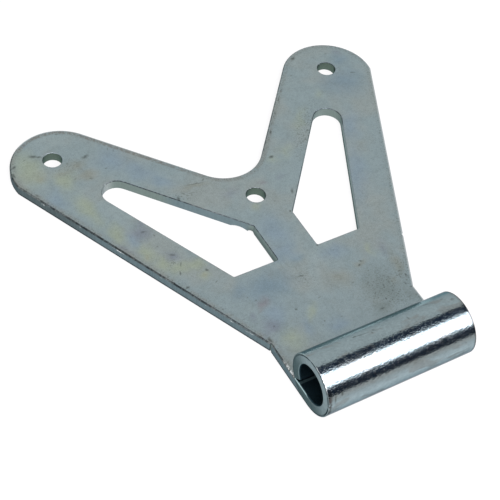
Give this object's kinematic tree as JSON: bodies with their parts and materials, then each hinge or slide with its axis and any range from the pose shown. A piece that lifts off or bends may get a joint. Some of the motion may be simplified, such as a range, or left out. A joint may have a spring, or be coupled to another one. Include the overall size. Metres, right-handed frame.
{
  "type": "butterfly hinge leaf",
  "caption": "Flat steel hinge leaf with spread wings, a cutout in each wing, bolt holes, and a neck rolled into an eye for a hinge pin.",
  "frame": {"origin": "middle of the pin bore, on its axis", "axes": "+X along the pin; +Y from the pin towards the wings' ends; +Z out of the plate's top face, the side that the eye stands on"},
  "size_m": [0.1928, 0.1982, 0.028],
  "materials": {
    "zinc_plated_steel": "satin zinc plating on sheet steel, blue grey with faint iridescence, worn at the edges"
  },
  "bodies": {
    "root": {"hinge_leaf": "zinc_plated_steel"}
  },
  "joints": []
}
